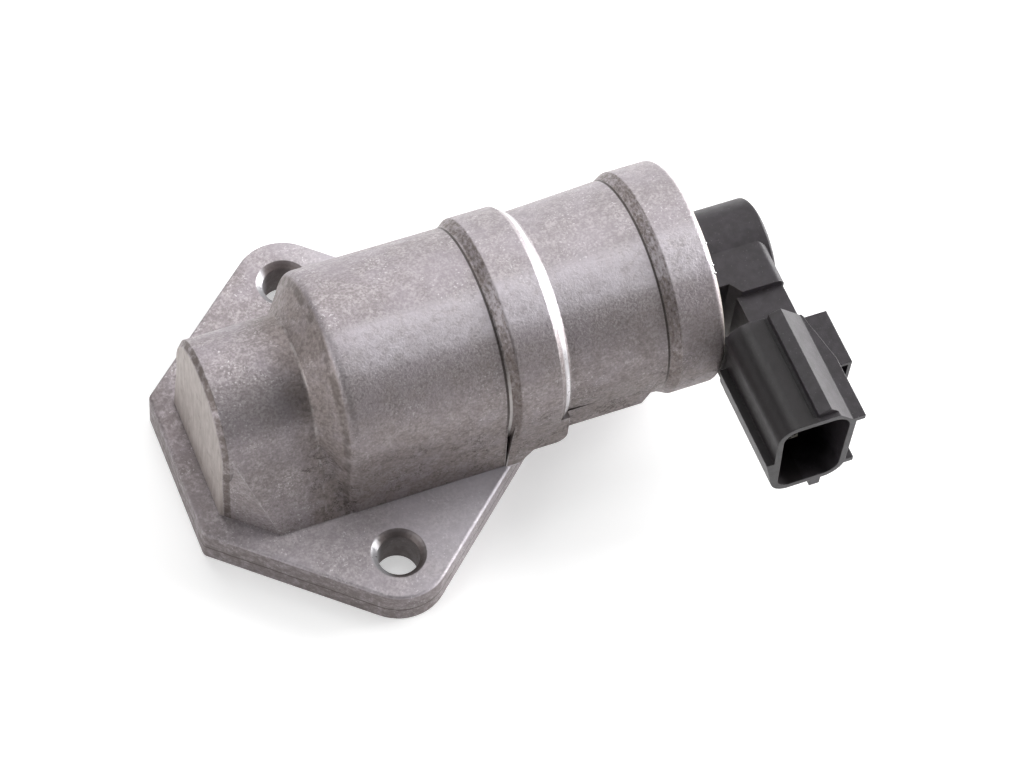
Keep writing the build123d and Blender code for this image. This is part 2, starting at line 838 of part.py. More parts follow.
channels = [terminal_strip(side, terminal_slot_clearance) for side in (1, -1)]

# Moulded cap: boss out of the can, side block, neck and socket shell in one piece
with BuildPart() as terminal_cap:
    with BuildSketch(section(end_plate_start)):
        Circle(cap_foot_radius)
    extrude(amount=cap_foot_thickness)
    with BuildSketch(section(end_plate_start)):
        Circle(cap_boss_radius)
    extrude(amount=cap_end - end_plate_start)
    fillet(faces().sort_by(Axis.X)[-1].edges(), cap_boss_edge)

    # block that leads sideways from the boss, rounded at its rear and set back at its front
    with BuildSketch(Plane.XZ) as block_sketch:
        with Locations((block_start, axis_height)):
            Rectangle(block_end - block_start, 2 * cap_block_half_height, align=along)
        fillet(block_sketch.vertices().group_by(Axis.X)[-1], cap_block_round)
    extrude(amount=cap_block_reach)
    with BuildSketch(Plane.XY.offset(axis_height - cap_block_half_height)):
        Polygon(
            (block_start, -cap_block_near_reach),
            (block_start, -cap_block_reach),
            (block_start + cap_block_near_length + cap_block_slope_length, -cap_block_reach),
            (block_start + cap_block_near_length, -cap_block_near_reach),
            align=None,
        )
    extrude(amount=2 * cap_block_half_height, mode=Mode.SUBTRACT)

    # neck between the block and the shell
    with BuildSketch(Plane.XZ.offset(cap_block_reach)):
        with Locations((rim_end + cap_neck_start, axis_height)):
            Rectangle(cap_neck_width, cap_neck_height, align=along)
    extrude(amount=shell_start - cap_block_reach)

    # web across the rear of the shell, from the neck to the edge of the can
    with BuildSketch(Plane.XZ.offset(shell_start - cap_web_thickness)):
        with Locations((rim_end + cap_web_clearance, shell_bottom + shell_corner)):
            Rectangle(
                cap_neck_start + cap_neck_width - cap_web_clearance,
                cap_web_height,
                align=(Align.MIN, Align.MIN),
            )
    extrude(amount=cap_web_thickness)

    # socket shell, rounded at three corners and bevelled at the fourth, leaning in at its left
    with BuildSketch(Plane.XZ.offset(shell_start)) as shell_sketch:
        Polygon(
            (shell_left + shell_lean, shell_bottom),
            (shell_right, shell_bottom),
            (shell_right, shell_top),
            (shell_left, shell_top),
            align=None,
        )
        fillet(shell_sketch.vertices().sort_by_distance((shell_right, shell_top))[1:], shell_corner)
        chamfer(nearest(shell_sketch.vertices(), (shell_right, shell_top)), shell_bevel)
    extrude(amount=shell_length)

    # relief where the shell passes the rolled edge of the can
    with BuildSketch(section(rim_end + rim_relief)):
        Circle(rim_radius + rim_relief)
        Circle(crimp_lip_radius, mode=Mode.SUBTRACT)
    extrude(amount=-rim_length, mode=Mode.SUBTRACT)

    # two fins that flare out and then run on to the mouth
    fin_levels = [Plane.XY.offset(shell_level + side * fin_spacing / 2) for side in (1, -1)]
    with BuildSketch(*fin_levels):
        Polygon(
            (shell_right - shell_wall, -shell_start),
            (shell_right - shell_wall, -shell_mouth),
            (shell_right + fin_flare, -shell_mouth),
            (shell_right + fin_flare, -shell_start - fin_ramp_length),
            (shell_right - fin_root_depth, -shell_start),
            align=None,
        )
    extrude(amount=fin_thickness / 2, both=True)

    # latch block with its pocket open towards the mouth
    with BuildSketch(Plane.XZ.offset(shell_start - latch_lap)):
        with Locations((shell_right - shell_wall, axis_height)):
            Rectangle(shell_wall + latch_width, latch_height, align=along)
    extrude(amount=latch_length)
    with BuildSketch(Plane.XZ.offset(shell_start - latch_lap + latch_length)):
        with Locations((shell_right, axis_height)):
            Rectangle(
                latch_width - latch_wall,
                latch_height - 2 * latch_wall,
                align=along,
            )
    extrude(amount=-latch_pocket_depth, mode=Mode.SUBTRACT)

    # wedge-shaped key rib on the side towards the can, and the gate's nub under the mouth
    key_rib_bottom = shell_bottom + key_rib_lift
    key_rib_foot = shell_left + shell_lean * (1 - key_rib_lift / shell_height)
    with BuildSketch(Plane.XZ.offset(shell_mouth)):
        Polygon(
            (key_rib_foot, key_rib_bottom),
            (key_rib_foot + shell_wall, key_rib_bottom),
            (shell_left + shell_wall, key_rib_bottom + key_rib_height),
            (shell_left - key_rib_width, key_rib_bottom + key_rib_height),
            align=None,
        )
    extrude(amount=key_rib_setback - shell_length)
    with BuildSketch(Plane.XZ.offset(shell_mouth)):
        with Locations((shell_centre + gate_nub_offset, shell_bottom)):
            Rectangle(gate_nub_width, 2 * gate_nub_height)
    extrude(amount=-gate_nub_length)

    # groove and rail along the top of the shell
    with BuildSketch(Plane.XZ.offset(shell_start)):
        with Locations((rail_start, shell_top)):
            Rectangle(
                2 * rail_groove_width,
                2 * rail_groove_depth,
                align=(Align.CENTER, Align.CENTER),
            )
    extrude(amount=shell_length - rail_setback, mode=Mode.SUBTRACT)
    with BuildSketch(Plane.XZ.offset(shell_start)):
        Polygon(
            (rail_start, shell_top - rail_groove_depth),
            (shell_right - shell_bevel + rail_groove_depth, shell_top - rail_groove_depth),
            (shell_right - shell_bevel - rail_peak_height, shell_top + rail_peak_height),
            (rail_start, shell_top + rail_edge_height),
            align=None,
        )
    extrude(amount=shell_length - rail_setback)

    # socket, whose walls follow the outline of the shell
    with BuildSketch(Plane.XZ.offset(shell_mouth)) as socket_sketch:
        Polygon(
            (shell_left + shell_lean + shell_wall, shell_bottom + shell_wall),
            (shell_right - shell_wall, shell_bottom + shell_wall),
            (shell_right - shell_wall, shell_top - shell_wall),
            (shell_left + shell_wall, shell_top - shell_wall),
            align=None,
        )
        socket_corner = (shell_right - shell_wall, shell_top - shell_wall)
        fillet(socket_sketch.vertices().sort_by_distance(socket_corner)[1:], shell_corner - shell_wall)
        fillet(nearest(socket_sketch.vertices(), socket_corner), socket_near_round)
    extrude(amount=shell_floor - shell_length, mode=Mode.SUBTRACT)

    # channels for the terminals
    add(channels, mode=Mode.SUBTRACT)
terminal_cap.part.label = "terminal_cap"
export_step(terminal_cap.part, "parts/terminal_cap.step")

# The two terminals, from the coil to their blades in the socket
terminal_upper = terminal_strip(1, 0)
terminal_upper.label = "terminal_upper"
export_step(terminal_upper, "parts/terminal_upper.step")
terminal_lower = terminal_strip(-1, 0)
terminal_lower.label = "terminal_lower"
export_step(terminal_lower, "parts/terminal_lower.step")
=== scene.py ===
import json
from math import cos, pi, radians, sin

import bpy
import numpy as np
from mathutils import Matrix, Vector


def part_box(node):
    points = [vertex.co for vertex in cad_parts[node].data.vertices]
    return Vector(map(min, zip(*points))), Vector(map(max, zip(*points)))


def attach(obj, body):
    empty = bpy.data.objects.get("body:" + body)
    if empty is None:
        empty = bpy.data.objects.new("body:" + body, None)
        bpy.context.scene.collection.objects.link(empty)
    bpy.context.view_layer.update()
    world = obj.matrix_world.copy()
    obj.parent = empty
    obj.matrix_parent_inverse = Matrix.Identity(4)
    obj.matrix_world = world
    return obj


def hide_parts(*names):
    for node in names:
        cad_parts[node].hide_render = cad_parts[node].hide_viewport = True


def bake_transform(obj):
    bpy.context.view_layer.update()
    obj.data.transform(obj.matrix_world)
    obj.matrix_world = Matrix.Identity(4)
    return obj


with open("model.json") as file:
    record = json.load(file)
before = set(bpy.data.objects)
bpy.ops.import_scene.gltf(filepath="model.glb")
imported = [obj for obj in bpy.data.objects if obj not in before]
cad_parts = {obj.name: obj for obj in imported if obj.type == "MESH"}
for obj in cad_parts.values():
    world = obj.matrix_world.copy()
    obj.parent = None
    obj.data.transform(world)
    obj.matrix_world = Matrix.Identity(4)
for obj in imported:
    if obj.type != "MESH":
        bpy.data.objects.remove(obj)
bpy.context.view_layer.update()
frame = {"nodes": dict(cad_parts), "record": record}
MM = 0.001

# Places on the housing and the cap, in millimetres of the part's frame
AXIS_HEIGHT = 20.0
NOSE_END = -23.1
NOSE_SHOULDER = -8.3
SHOULDER_END = -4.2
COLLAR_START = 21.0
COLLAR_END = 29.2
WAIST_START = 31.2
WAIST_END = 47.3
RIM_START = 49.0
RIM_END = 56.4
LIP_RADIUS = 13.9
BOLT_OFFSET = 26.0
HOLE_EDGE = 4.25
FLANGE_THICKNESS = 7.0
RAIL_START = 62.8

# Ring of burrs in millimetres, the spread of a burr in radians, and each burr's degrees and height
BURR_PLACE = 56.15
BURR_RADIUS = 17.55
BURR_THICKNESS = 0.07
BURR_LEAST_THICKNESS = 0.02
BURR_FLATNESS = 0.8
BURR_RIPPLE = 0.8
BURR_WAVES = (7, 13, 19, 31, 47)
BURR_SPREAD = 0.012
BURRS = ((110.5, 0.25), (122.0, 0.22), (126.0, 0.30))
BURR_STEPS = 900
BURR_SIDES = 10

# Springs: wire radius in millimetres and number of turns
RETURN_WIRE = 0.35
RETURN_TURNS = 6
FRONT_WIRE = 0.30
FRONT_TURNS = 5
COIL_STEPS = 48
WIRE_SIDES = 12

# Camera, as solved from the photograph: degrees, millimetres and pixels
CAMERA_AZIMUTH = 28.4133
CAMERA_ELEVATION = 58.4295
CAMERA_ROLL = 7.7410
CAMERA_DISTANCE = 552.7028
CAMERA_DRIFT_RIGHT = 27.395
CAMERA_DRIFT_UP = 8.2712
FOCAL_PIXELS = 3500
FRAME_WIDTH = 1024
SENSOR_WIDTH = 36.0

# Lamps: name, place and side in millimetres, power in watts
LAMP_AIM = (15, 0, 15)
LAMPS = (
    ("top", (15, 0, 620), 500, 0.6),
    ("top_back", (15, 300, 560), 400, 1.1),
    ("back", (15, 600, 350), 500, 1.45),
    ("left", (-600, -60, 260), 450, 2.2),
    ("right", (650, 60, 220), 450, 8.3),
    ("low_right", (600, -250, 90), 300, 2.7),
)
FLOOR_HALF = 3000.0
FLOOR_GAP = 0.02
FLOOR_GREY = 0.80
FLOOR_GLOW = 0.45
DOME_STRENGTH = 0.01


def mesh_piece(name, vertices, faces, smooth=True):
    """Object at the origin with the given vertices in millimetres."""
    mesh = bpy.data.meshes.new(name)
    mesh.from_pydata((np.asarray(vertices) * MM).tolist(), [], [tuple(face) for face in faces])
    mesh.polygons.foreach_set("use_smooth", [smooth] * len(mesh.polygons))
    mesh.update()
    piece = bpy.data.objects.new(name, mesh)
    bpy.context.scene.collection.objects.link(piece)
    return piece


def grid_faces(rows, columns, wrap_rows=False):
    """Quads of a grid whose points run row by row. Each row is closed into a ring, and the last row
    is joined to the first one if asked."""
    i = np.arange(rows if wrap_rows else rows - 1)[:, None]
    j = np.arange(columns)[None, :]
    near = i * columns + j
    right = i * columns + (j + 1) % columns
    far = ((i + 1) % rows) * columns + (j + 1) % columns
    left = ((i + 1) % rows) * columns + j
    return np.stack([near, right, far, left], -1).reshape(-1, 4)


# Materials

def new_material(name):
    """Empty node material with its output and a Principled shader."""
    material = bpy.data.materials.new(name)
    material.use_nodes = True
    tree = material.node_tree
    tree.nodes.clear()
    shader = tree.nodes.new("ShaderNodeBsdfPrincipled")
    output = tree.nodes.new("ShaderNodeOutputMaterial")
    tree.links.new(shader.outputs["BSDF"], output.inputs["Surface"])
    return material, tree, shader


class Nodes:
    """Short calls for the nodes that the finishes share, all on Object coordinates in millimetres."""

    def __init__(self, tree):
        self.tree = tree
        coordinates = tree.nodes.new("ShaderNodeTexCoord")
        scale = tree.nodes.new("ShaderNodeVectorMath")
        scale.operation = "SCALE"
        scale.inputs["Scale"].default_value = 1 / MM
        tree.links.new(coordinates.outputs["Object"], scale.inputs[0])
        self.place = scale.outputs["Vector"]
        split = tree.nodes.new("ShaderNodeSeparateXYZ")
        tree.links.new(self.place, split.inputs[0])
        self.x, self.y, self.z = split.outputs

    def noise(self, size, detail, rough, place=None):
        """Noise with features about size millimetres across, from 0 to 1."""
        node = self.tree.nodes.new("ShaderNodeTexNoise")
        node.inputs["Scale"].default_value = 1 / size
        node.inputs["Detail"].default_value = detail
        node.inputs["Roughness"].default_value = rough
        self.tree.links.new(place or self.place, node.inputs["Vector"])
        return node.outputs["Fac"]

    def math(self, operation, a, b=0.5):
        """One step of arithmetic on a and b, each a number or the output of a node."""
        node = self.tree.nodes.new("ShaderNodeMath")
        node.operation = operation
        for socket, value in zip(node.inputs, (a, b)):
            if isinstance(value, (int, float)):
                socket.default_value = value
            else:
                self.tree.links.new(value, socket)
        return node.outputs[0]

    def times(self, first, *others):
        """Product of two or more masks or numbers."""
        product = first
        for other in others:
            product = self.math("MULTIPLY", product, other)
        return product

    def most(self, first, *others):
        """Largest of two or more masks."""
        largest = first
        for other in others:
            largest = self.math("MAXIMUM", largest, other)
        return largest

    def ramp(self, value, low, high, to_low=0.0, to_high=1.0):
        """Smooth step of value from low to high, onto to_low and to_high."""
        node = self.tree.nodes.new("ShaderNodeMapRange")
        node.interpolation_type = "SMOOTHSTEP"
        for name, number in (("From Min", low), ("From Max", high), ("To Min", to_low), ("To Max", to_high)):
            node.inputs[name].default_value = number
        self.tree.links.new(value, node.inputs["Value"])
        return node.outputs["Result"]

    def band(self, value, low, high, soft):
        """1 between low and high, with soft edges."""
        return self.times(self.ramp(value, low - soft, low), self.ramp(value, high, high + soft, 1, 0))

    def mix(self, factor, a, b):
        """Colour a where factor is 0 and colour b where it is 1."""
        node = self.tree.nodes.new("ShaderNodeMix")
        node.data_type = "RGBA"
        self.tree.links.new(factor, node.inputs[0])
        for socket, value in ((node.inputs[6], a), (node.inputs[7], b)):
            if isinstance(value, tuple):
                socket.default_value = (*value, 1)
            else:
                self.tree.links.new(value, socket)
        return node.outputs[2]

    def tint(self, under, colour, mask, strength):
        """Lay colour over the colour under, as far as the mask times strength says."""
        return self.mix(self.times(mask, strength), under, colour)

    def bump(self, height, depth, below=None):
        """Normal that is disturbed by height, from 0 to 1, over depth millimetres."""
        node = self.tree.nodes.new("ShaderNodeBump")
        node.inputs["Distance"].default_value = depth * MM
        self.tree.links.new(height, node.inputs["Height"])
        if below is not None:
            self.tree.links.new(below, node.inputs["Normal"])
        return node.outputs["Normal"]

    def length(self, a, b):
        """Distance from the origin of the point whose two coordinates are a and b."""
        squares = [self.times(value, value) for value in (a, b)]
        return self.math("SQRT", self.math("ADD", *squares), 0.0)

    def stretched(self, along, across, up):
        """Object coordinates shrunk by these factors, so that a pattern is drawn out the other way."""
        node = self.tree.nodes.new("ShaderNodeVectorMath")
        node.operation = "MULTIPLY"
        node.inputs[1].default_value = (along, across, up)
        self.tree.links.new(self.place, node.inputs[0])
        return node.outputs["Vector"]

    def outer_edges(self, softened, openness):
        """1 where the softened normal leaves the true one on open surface, as along an outer edge."""
        geometry = self.tree.nodes.new("ShaderNodeNewGeometry")
        facing = self.tree.nodes.new("ShaderNodeVectorMath")
        facing.operation = "DOT_PRODUCT"
        self.tree.links.new(softened, facing.inputs[0])
        self.tree.links.new(geometry.outputs["Normal"], facing.inputs[1])
        edge = self.ramp(facing.outputs["Value"], 0.985, 0.90)
        return self.times(edge, self.ramp(openness, 0.80, 0.95))

    def occlusion(self, reach):
        """1 on open surface, lower where other surface lies within reach millimetres."""
        node = self.tree.nodes.new("ShaderNodeAmbientOcclusion")
        node.samples = 4
        node.only_local = True
        node.inputs["Distance"].default_value = reach * MM
        return node.outputs["AO"]

    def rounded(self, radius):
        """Normal with every edge softened over radius millimetres."""
        node = self.tree.nodes.new("ShaderNodeBevel")
        node.samples = 4
        node.inputs["Radius"].default_value = radius * MM
        return node.outputs["Normal"]


def die_skin(n, grain, mottle):
    """Grain of the die skin in three sizes, with a violet cast in some patches and pale specks
    that are thickest in patches. Gives the colour and the mask of the specks."""
    cloud = n.noise(7.0, 3.0, 0.5)
    grey = n.mix(n.ramp(grain, 0.36, 0.64), (0.290, 0.257, 0.265), (0.490, 0.446, 0.458))
    grey = n.mix(n.ramp(mottle, 0.38, 0.66, 0.0, 0.60), grey, (0.262, 0.231, 0.236))
    grey = n.mix(n.ramp(cloud, 0.38, 0.66, 0.0, 0.42), grey, (0.405, 0.362, 0.402))
    patch = n.ramp(n.noise(5.0, 2.0, 0.5), 0.44, 0.60, 0.10, 1.0)
    speck = n.times(n.ramp(n.noise(0.34, 1.5, 0.5), 0.62, 0.70), patch)
    return n.tint(grey, (0.76, 0.73, 0.75), speck, 0.72), speck


def painted_sheen(n, grey, round_front, mottle):
    """Painted sheen: a pale violet band along the front of the barrel where the light catches it, and a
    paler painted sheen towards the connector.
    """
    # painted sheen: a pale band set by the angle about the barrel axis
    sheen_band = n.times(n.band(round_front, 0.24, 0.50, 0.16), n.ramp(n.x, NOSE_SHOULDER, 2.0))
    sheen_band = n.times(sheen_band, n.ramp(mottle, 0.30, 0.62, 0.35, 1.0))
    grey = n.tint(grey, (0.70, 0.66, 0.71), sheen_band, 0.60)
    # painted sheen: paler skin towards the connector on the upper front
    rear_sheen = n.times(n.ramp(n.x, -14.0, 40.0, 0.0, 0.16), n.ramp(round_front, 0.50, 0.75, 1, 0))
    return n.mix(rear_sheen, grey, (0.70, 0.66, 0.70))


def lower_stain_and_shade(n, grey, round_front, above):
    """Brown on the lower flanks, on the slope of the shoulder and on the nose before it, partly
    staining and partly painted shade where these faces turn from the light, with a darker line at the top
    of the slope and a pale one at its foot. Gives the colour and the mask of the staining and shade."""
    # brown staining and painted shade on the lower flanks, set by the angle about the axis
    flank = n.ramp(round_front, 0.56, 0.92, 0.0, 0.56)
    low = n.math("ADD", flank, n.ramp(round_front, 1.15, 1.65, 0.0, 0.36))
    low = n.times(low, n.ramp(n.x, NOSE_SHOULDER, SHOULDER_END, 0.45, 1.0))
    # brown staining and painted shade on the slope of the shoulder
    slope = n.ramp(n.x, NOSE_SHOULDER - 6.5, NOSE_SHOULDER - 0.3)
    slope = n.times(slope, n.ramp(n.x, SHOULDER_END - 0.5, SHOULDER_END + 0.1, 1, 0))
    staining_and_shade = n.times(n.most(low, slope), above, n.ramp(n.noise(3.0, 4.0, 0.6), 0.30, 0.60, 0.62, 1.0))
    stain_shade_colour = n.mix(n.ramp(n.noise(0.6, 4.0, 0.6), 0.34, 0.64), (0.150, 0.122, 0.112), (0.270, 0.230, 0.216))
    grey = n.tint(grey, stain_shade_colour, staining_and_shade, 0.82)

    rise = n.times(n.band(n.x, SHOULDER_END - 1.1, SHOULDER_END - 0.6, 0.3), above)
    rise = n.times(rise, n.ramp(n.noise(1.6, 4.0, 0.6), 0.40, 0.58))
    grey = n.tint(grey, (0.100, 0.082, 0.074), rise, 0.60)
    crease = n.times(n.band(n.x, NOSE_SHOULDER - 0.15, NOSE_SHOULDER + 0.10, 0.10), above)
    crease = n.times(crease, n.ramp(n.noise(1.8, 3.0, 0.6), 0.42, 0.60))
    return n.tint(grey, (0.52, 0.49, 0.48), crease, 0.42), staining_and_shade


def pitting(n, grey, staining_and_shade):
    """Worm-like pits where the brown staining and painted shade lie, most of them low down. Gives the colour
    and their mask.
    """
    vein = n.math("ABSOLUTE", n.math("SUBTRACT", n.noise(1.1, 3.0, 0.6), 0.5))
    pit = n.times(n.ramp(vein, 0.030, 0.012), n.ramp(n.noise(3.6, 3.0, 0.5), 0.48, 0.60))
    pit = n.times(pit, n.times(staining_and_shade, n.ramp(n.z, 19.0, 24.0, 1.0, 0.1)))
    return n.tint(grey, (0.065, 0.052, 0.046), pit, 0.80), pit


def ramp_deposits_shade_highlight(n, grey, above):
    """Broken dark deposits on the ramps of the collar and the rim, painted shade as a darker line in the
    inner corner at the foot of each ramp, and a pale painted highlight on the edge where the collar's ramp
    starts, in its lower half."""
    collar_ramp = n.band(n.x, COLLAR_START - 0.25, COLLAR_START + 1.35, 0.30)
    rim_ramp = n.band(n.x, WAIST_END - 0.15, RIM_START - 0.10, 0.30)
    ramps = n.times(n.most(collar_ramp, rim_ramp), n.ramp(n.z, 12.0, 22.0, 0.25, 1.0))
    streak = n.ramp(n.noise(1.1, 5.0, 0.7, n.stretched(2.2, 1.0, 1.0)), 0.36, 0.62, 1.0, 0.25)
    deposit = n.mix(n.ramp(n.noise(0.5, 3.0, 0.6), 0.36, 0.62), (0.100, 0.078, 0.068), (0.185, 0.150, 0.134))
    grey = n.tint(grey, deposit, n.times(ramps, streak), 0.88)

    # painted shade: a darker line in the inner corner at the foot of each ramp
    collar_foot = n.band(n.x, COLLAR_START - 0.55, COLLAR_START - 0.30, 0.12)
    rim_foot = n.band(n.x, WAIST_END - 0.30, WAIST_END - 0.05, 0.12)
    foot = n.times(n.most(collar_foot, rim_foot), n.ramp(n.z, 14.0, 24.0, 0.2, 1.0))
    grey = n.tint(grey, (0.045, 0.036, 0.032), foot, 0.85)
    # painted highlight on the edge where the collar's ramp starts
    ridge_highlight = n.times(n.band(n.x, COLLAR_START - 0.12, COLLAR_START + 0.15, 0.12), above)
    ridge_highlight = n.times(ridge_highlight, n.ramp(n.z, 25.0, 33.0, 1, 0))
    return n.tint(grey, (0.62, 0.59, 0.58), ridge_highlight, 0.75)


def corner_shade_and_edge_wear(n, grey, softened, openness):
    """Painted shade in the inner corners, and metal rubbed pale on the outer ones, which is also a painted
    edge highlight.
    """
    # painted shade where other surface lies close, in the inner corners
    grey = n.tint(grey, (0.070, 0.056, 0.050), n.ramp(openness, 0.30, 0.80, 1, 0), 0.78)
    # rubbed outer edges, also a painted edge highlight
    edge_wear_and_highlight = n.times(n.outer_edges(softened, openness), n.ramp(n.noise(1.2, 4.0, 0.6), 0.36, 0.58, 0.25, 1.0))
    return n.tint(grey, (0.72, 0.70, 0.72), edge_wear_and_highlight, 0.55)


def flange_tones(n, grey, above, mottle):
    """Flange: a painted sheen on top, paler towards the connector and in front; brown on its left end, and
    brown with painted shade on its sides.
    """
    plate = n.math("SUBTRACT", 1.0, above)
    deck = n.times(plate, n.ramp(n.z, FLANGE_THICKNESS - 0.6, FLANGE_THICKNESS - 0.3))
    # painted sheen on the flange's top, paler towards the connector and in front
    grey = n.tint(grey, (0.72, 0.69, 0.75), n.times(deck, n.ramp(n.x, -6.0, 20.0)), 0.62)
    grey = n.tint(grey, (0.64, 0.61, 0.66), n.times(deck, n.ramp(n.y, 6.0, -10.0)), 0.20)
    brown_end = n.times(deck, n.ramp(n.x, -26.0, -19.0, 1, 0), 0.65)
    # brown and painted shade on the flange's sides
    side = n.ramp(n.z, FLANGE_THICKNESS - 0.5, FLANGE_THICKNESS - 0.2, 1, 0)
    side = n.times(side, n.ramp(n.x, 2.0, 10.0, 1, 0))
    brown = n.times(n.most(brown_end, side), n.ramp(mottle, 0.3, 0.6, 0.6, 1.0))
    return n.tint(grey, (0.128, 0.102, 0.096), brown, 0.72)


def parting_line(n, grey, hole):
    """Thin dark line of the two die halves round the flange, outside its holes. Gives the colour
    and the mask of the line."""
    wander = n.math("ADD", n.z, n.times(n.noise(2.0, 3.0, 0.5), 0.4))
    parting = n.times(n.band(wander, 3.35, 3.55, 0.15), n.math("SUBTRACT", 1.0, hole))
    return n.tint(grey, (0.075, 0.060, 0.052), parting, 0.70), parting


def cut_lands(n, grey, above, hole):
    """Surfaces that a tool has cut: the nose face inside its dark ring, the bolt holes with a painted
    highlight on the side towards the nose, the crimped rim end, pale partly as bare metal and partly as a
    painted highlight, and the pale cone. Gives the colour, the mask of the glossy ones and that of the face."""
    ring = n.times(n.band(n.x, NOSE_END + 0.25, NOSE_END + 0.85, 0.2), above)
    ring = n.times(ring, n.ramp(n.noise(1.3, 4.0, 0.6), 0.34, 0.56, 0.35, 1.0))
    grey = n.tint(grey, (0.120, 0.095, 0.082), ring, 0.80)

    face = n.times(n.ramp(n.x, NOSE_END + 0.02, NOSE_END + 0.10, 1, 0), above)
    streaks = n.ramp(n.noise(0.7, 4.0, 0.6, n.stretched(1.0, 1.0, 0.16)), 0.34, 0.66)
    land = n.mix(streaks, (0.362, 0.318, 0.300), (0.450, 0.406, 0.386))
    land = n.mix(n.ramp(n.noise(2.6, 5.0, 0.66), 0.56, 0.66, 0.0, 0.38), land, (0.205, 0.166, 0.148))
    grey = n.mix(face, grey, land)

    grey = n.tint(grey, (0.150, 0.128, 0.124), hole, 0.80)
    # painted highlight on the side of each bolt hole towards the nose
    hole_highlight = n.times(hole, n.ramp(n.x, -1.5, -3.2))
    grey = n.tint(grey, (0.62, 0.62, 0.65), hole_highlight, 0.70)
    radius = n.length(n.y, n.math("SUBTRACT", n.z, AXIS_HEIGHT))
    # crimped rim end: bare metal, and a painted highlight on its chamfer
    lip_and_highlight = n.times(n.ramp(n.x, RIM_END - 0.50, RIM_END - 0.15), n.ramp(radius, LIP_RADIUS, LIP_RADIUS + 0.2))
    grey = n.tint(grey, (0.74, 0.68, 0.61), lip_and_highlight, 0.85)

    turned_line = n.noise(0.9, 3.0, 0.6, n.stretched(4.0, 0.15, 0.15))
    cone = n.band(n.x, COLLAR_END + 0.95, WAIST_START - 0.55, 0.35)
    cone = n.times(cone, n.ramp(turned_line, 0.30, 0.48, 0.45, 1.0), n.ramp(n.z, 15.4, 19.5))
    return n.mix(cone, grey, (0.84, 0.82, 0.85)), n.most(cone, lip_and_highlight, hole_highlight), face


def cast_aluminium():
    """As-cast skin: grained violet grey with a painted sheen along the front of the barrel, brown low down
    that is partly staining and partly painted shade, painted shade in the inner corners, and shining turned
    lands.
    round_front is the angle about the barrel axis, in radians, from the top towards the front."""
    material, tree, shader = new_material("cast_aluminium")
    n = Nodes(tree)
    above = n.ramp(n.z, FLANGE_THICKNESS + 0.05, FLANGE_THICKNESS + 0.3)
    round_front = n.math("ARCTAN2", n.times(n.y, -1.0), n.math("SUBTRACT", n.z, AXIS_HEIGHT))
    from_bolt = n.length(n.x, n.math("SUBTRACT", n.math("ABSOLUTE", n.y), BOLT_OFFSET))
    hole = n.ramp(from_bolt, HOLE_EDGE, HOLE_EDGE + 0.12, 1, 0)
    softened = n.rounded(0.28)
    openness = n.occlusion(1.8)
    grain = n.noise(0.40, 3.0, 0.6)
    mottle = n.noise(1.3, 5.0, 0.62)

    grey, speck = die_skin(n, grain, mottle)
    grey = painted_sheen(n, grey, round_front, mottle)
    grey, staining_and_shade = lower_stain_and_shade(n, grey, round_front, above)
    grey, pit = pitting(n, grey, staining_and_shade)
    grey = ramp_deposits_shade_highlight(n, grey, above)
    grey = corner_shade_and_edge_wear(n, grey, softened, openness)
    grey = flange_tones(n, grey, above, mottle)
    grey, parting = parting_line(n, grey, hole)
    grey, cut, face = cut_lands(n, grey, above, hole)
    tree.links.new(grey, shader.inputs["Base Color"])

    shine = n.most(n.times(cut, 0.20), n.times(speck, 0.12))
    rough = n.math("SUBTRACT", n.ramp(mottle, 0.3, 0.7, 0.46, 0.58), shine)
    tree.links.new(rough, shader.inputs["Roughness"])
    shader.inputs["Metallic"].default_value = 0.6
    shader.inputs["Specular IOR Level"].default_value = 0.4

    height = n.math("ADD", n.times(grain, 0.6), n.times(mottle, 0.7))
    height = n.math("SUBTRACT", height, n.times(pit, 0.6))
    height = n.math("SUBTRACT", height, n.times(parting, 0.8))
    height = n.times(height, n.math("SUBTRACT", 1.0, n.times(n.most(cut, face), 0.85)))
    tree.links.new(n.bump(height, 0.10, softened), shader.inputs["Normal"])
    return material


def black_plastic():
    """Moulded glass-filled plastic: near black with a faint violet cast and a soft sheen, with
    dust, edge wear that is also a painted highlight, and painted shade on the top of the shell beside its
    rail."""
    material, tree, shader = new_material("black_plastic")
    n = Nodes(tree)
    softened = n.rounded(0.22)
    cloud = n.ramp(n.noise(1.4, 5.0, 0.62), 0.34, 0.68)
    tone = n.mix(cloud, (0.0220, 0.0185, 0.0215), (0.0340, 0.0285, 0.0345))
    dust = n.ramp(n.noise(0.32, 2.0, 0.5), 0.68, 0.74, 0.0, 0.40)
    tone = n.mix(dust, tone, (0.17, 0.16, 0.17))
    # painted shade on the top of the shell left of its rail
    shell_top_shade = n.times(n.ramp(n.x, RAIL_START, RAIL_START - 0.25), n.ramp(n.y, -16.5, -19.0))
    tone = n.tint(tone, (0.006, 0.004, 0.004), shell_top_shade, 0.72)
    # rubbed edges, also a painted edge highlight
    edge_wear_and_highlight = n.ramp(n.noise(0.9, 4.0, 0.6), 0.40, 0.60, 0.3, 1.0)
    edge_wear_and_highlight = n.times(n.outer_edges(softened, n.occlusion(1.0)), edge_wear_and_highlight)
    tone = n.tint(tone, (0.16, 0.145, 0.15), edge_wear_and_highlight, 0.35)
    tree.links.new(tone, shader.inputs["Base Color"])
    tree.links.new(n.ramp(n.noise(1.6, 4.0, 0.6), 0.3, 0.7, 0.42, 0.50), shader.inputs["Roughness"])
    shader.inputs["Specular IOR Level"].default_value = 0.48
    grain = n.math("ADD", n.times(n.noise(0.22, 3.0, 0.6), 0.6), n.times(n.noise(0.9, 3.0, 0.5), 0.6))
    tree.links.new(n.bump(grain, 0.03, softened), shader.inputs["Normal"])
    return material


